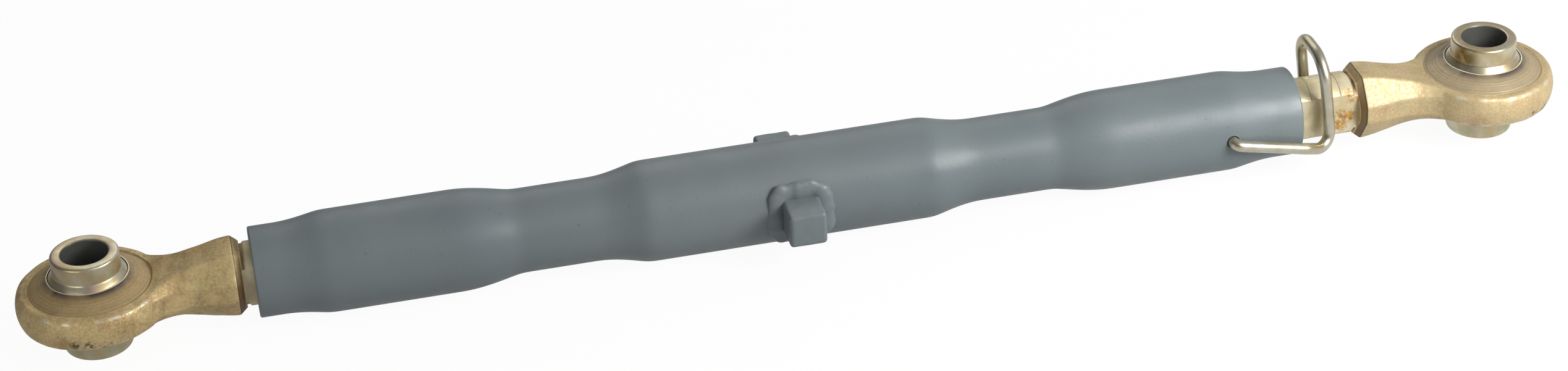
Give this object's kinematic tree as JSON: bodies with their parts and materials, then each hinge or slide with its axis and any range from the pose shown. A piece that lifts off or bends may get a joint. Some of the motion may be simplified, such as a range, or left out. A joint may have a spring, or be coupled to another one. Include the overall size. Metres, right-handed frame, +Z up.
{
  "type": "tractor top link",
  "caption": "Turnbuckle top link with a swaged steel barrel, two threaded eye rods with pierced balls, welded turning lugs and a wire lock bail.",
  "frame": {"origin": "on the ground under the middle of the link, midway between the outer ends of its two eyes", "axes": "+X along the link towards the end with the wire bail, +Y across it away from the camera, +Z up along the pin bores of both balls"},
  "size_m": [0.6668, 0.072, 0.0547],
  "materials": {
    "barrel_enamel": "semi-gloss blue-grey enamel",
    "forging_zinc": "yellow zinc over a drop forging, satin, mottled",
    "ball_zinc": "turned steel, thin yellow zinc, bright belt",
    "wire_zinc": "bright zinc on drawn wire",
    "bush_steel": "plain turned steel"
  },
  "bodies": {
    "barrel": {"barrel_tube": "barrel_enamel", "front_lug": "barrel_enamel", "rear_lug": "barrel_enamel", "front_weld": "barrel_enamel", "rear_weld": "barrel_enamel", "left_thread_bush": "bush_steel", "right_thread_bush": "bush_steel"},
    "left_rod": {"left_eye_rod": "forging_zinc"},
    "right_rod": {"right_eye_rod": "forging_zinc"},
    "left_ball": {"left_ball": "ball_zinc"},
    "right_ball": {"right_ball": "ball_zinc"},
    "bail": {"lock_bail": "wire_zinc"}
  },
  "joints": [
    {"name": "left_rod_slide", "type": "slide", "parent": "barrel", "child": "left_rod", "axis": [-1, 0, 0], "range_m": [-0.003, 0.105]},
    {"name": "right_rod_slide", "type": "slide", "parent": "barrel", "child": "right_rod", "axis": [1, 0, 0], "range_m": [-0.003, 0.105]},
    {"name": "left_ball_tilt", "type": "hinge", "parent": "left_rod", "child": "left_ball", "pos_m": [-0.3024, 0, 0.022], "axis": [0, 1, 0], "range_deg": [-8, 8]},
    {"name": "right_ball_tilt", "type": "hinge", "parent": "right_rod", "child": "right_ball", "pos_m": [0.3024, 0, 0.022], "axis": [0, 1, 0], "range_deg": [-8, 8]},
    {"name": "bail_swing", "type": "hinge", "parent": "barrel", "child": "bail", "pos_m": [0.1807, 0, 0.0235], "axis": [0, -1, 0], "range_deg": [0, 117]}
  ],
  "couplings": [
    {"joint": "right_rod_slide", "follows": "left_rod_slide", "ratio": 1}
  ]
}
